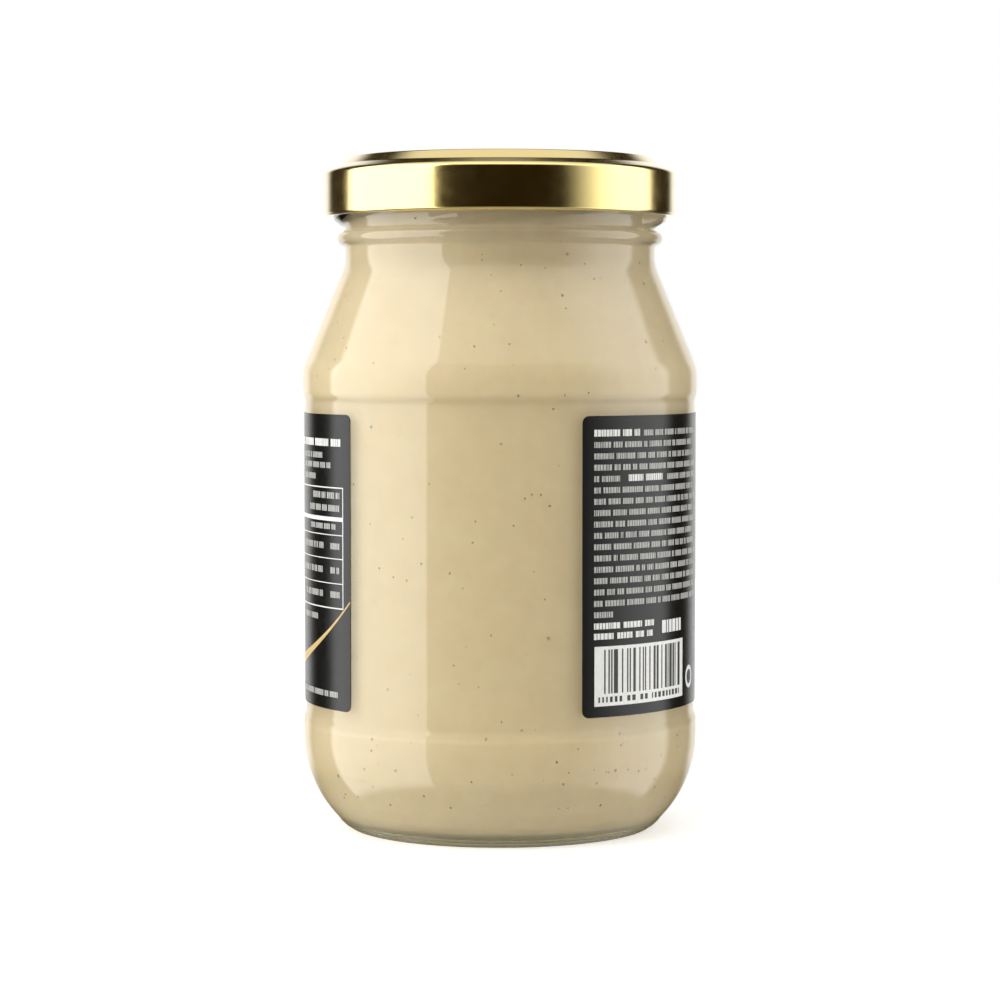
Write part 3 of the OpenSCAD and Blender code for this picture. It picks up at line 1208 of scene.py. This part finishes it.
def light_patch(tree, azimuth, elevation, patch):
    """One soft-edged bright patch of the studio."""
    az0, az1, soft0, soft1, el0, el1, strength = patch
    left = edge(tree, azimuth, az0, soft0)
    right = edge(tree, azimuth, az1, soft1, True)
    across = math_node(tree, "MULTIPLY", left, right)
    low = edge(tree, elevation, el0, LOW_EDGE_W)
    high = edge(tree, elevation, el1, HIGH_EDGE_W, True)
    up = math_node(tree, "MULTIPLY", low, high)
    return math_node(tree, "MULTIPLY", math_node(tree, "MULTIPLY", across, up), strength)


def studio_light(tree):
    """Brightness of the studio in each direction."""
    way = add_node(tree, "ShaderNodeTexCoord")
    axes = add_node(tree, "ShaderNodeSeparateXYZ")
    tree.links.new(way.outputs["Generated"], axes.inputs["Vector"])
    x, y, z = axes.outputs
    ahead = math_node(tree, "MULTIPLY", y, -1.0)
    azimuth = math_node(tree, "MULTIPLY", math_node(tree, "ARCTAN2", x, ahead), 180 / math.pi)
    elevation = math_node(tree, "MULTIPLY", math_node(tree, "ARCSINE", z), 180 / math.pi)
    behind = math_node(tree, "ABSOLUTE", azimuth)
    parts = [light_patch(tree, azimuth, elevation, patch) for patch in SOFT_BOXES]
    parts.append(light_patch(tree, behind, elevation, BACKDROP))
    start, width, strength = OVERHEAD
    parts.append(math_node(tree, "MULTIPLY", edge(tree, elevation, start, width), strength))
    start, width, strength = UNDERNEATH
    parts.append(math_node(tree, "MULTIPLY", edge(tree, elevation, start, width, True), strength))
    total = parts[0]
    for part in parts[1:]:
        total = math_node(tree, "ADD", total, part)
    return total


def make_light():
    """A studio as the world: soft boxes, white behind, overhead and underneath.

    The camera itself sees plain white.
    """
    world = bpy.data.worlds.new("studio")
    bpy.context.scene.world = world
    world.use_nodes = True
    tree = world.node_tree
    tree.nodes.clear()
    tinted = add_node(tree, "ShaderNodeVectorMath", operation="ADD")
    tree.links.new(studio_light(tree), tinted.inputs[0])
    tinted.inputs[1].default_value = DARK
    rays = add_node(tree, "ShaderNodeLightPath")
    seen = add_node(tree, "ShaderNodeMix", data_type="VECTOR")
    tree.links.new(rays.outputs["Is Camera Ray"], seen.inputs[0])
    tree.links.new(tinted.outputs["Vector"], seen.inputs[4])
    seen.inputs[5].default_value = (1, 1, 1)
    background = add_node(tree, "ShaderNodeBackground")
    tree.links.new(seen.outputs[1], background.inputs["Color"])
    out = add_node(tree, "ShaderNodeOutputWorld")
    tree.links.new(background.outputs["Background"], out.inputs["Surface"])
    bpy.context.scene.view_settings.view_transform = "Standard"


# ---------------------------------------------------------------- the whole

def join_frame(pieces, node):
    """Says that pieces ride on the root body and stand for a CAD node."""
    for piece in pieces:
        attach(piece, "root")
        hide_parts(node)


def build():
    """Makes every piece."""
    make_camera()
    make_light()
    make_floor(floor_material())
    join_frame([make_glass(glass_material())], "glass_jar")
    dark = speck_material("speck_dark", (0.33, 0.23, 0.115), (0.46, 0.34, 0.18))
    faint = speck_material("speck_faint", (0.50, 0.37, 0.20), (0.60, 0.46, 0.26))
    filling = [
        make_mayonnaise(mayonnaise_material()),
        make_specks("specks_dark", 260, 0.3, 0.6, 4, dark),
        make_specks("specks_faint", 200, 0.35, 0.7, 5, faint),
    ]
    join_frame(filling, "mayonnaise")
    metal = lid_material()
    join_frame([make_lid(metal), make_lugs(metal)], "lid")
    white = ink_material("ink_white", (0.78, 0.78, 0.75), (0.86, 0.86, 0.83))
    grey = ink_material("ink_fine", (0.40, 0.40, 0.38), (0.50, 0.50, 0.47))
    gold = ink_material("ink_gold", (0.60, 0.42, 0.16), (0.68, 0.49, 0.20))
    cream = ink_material("ink_cream", (0.70, 0.62, 0.44), (0.76, 0.68, 0.50))
    paper = [make_label(label_material())] + make_print(white, grey, gold, cream)
    for piece in paper:
        piece.visible_shadow = False
    join_frame(paper, "label")


build()
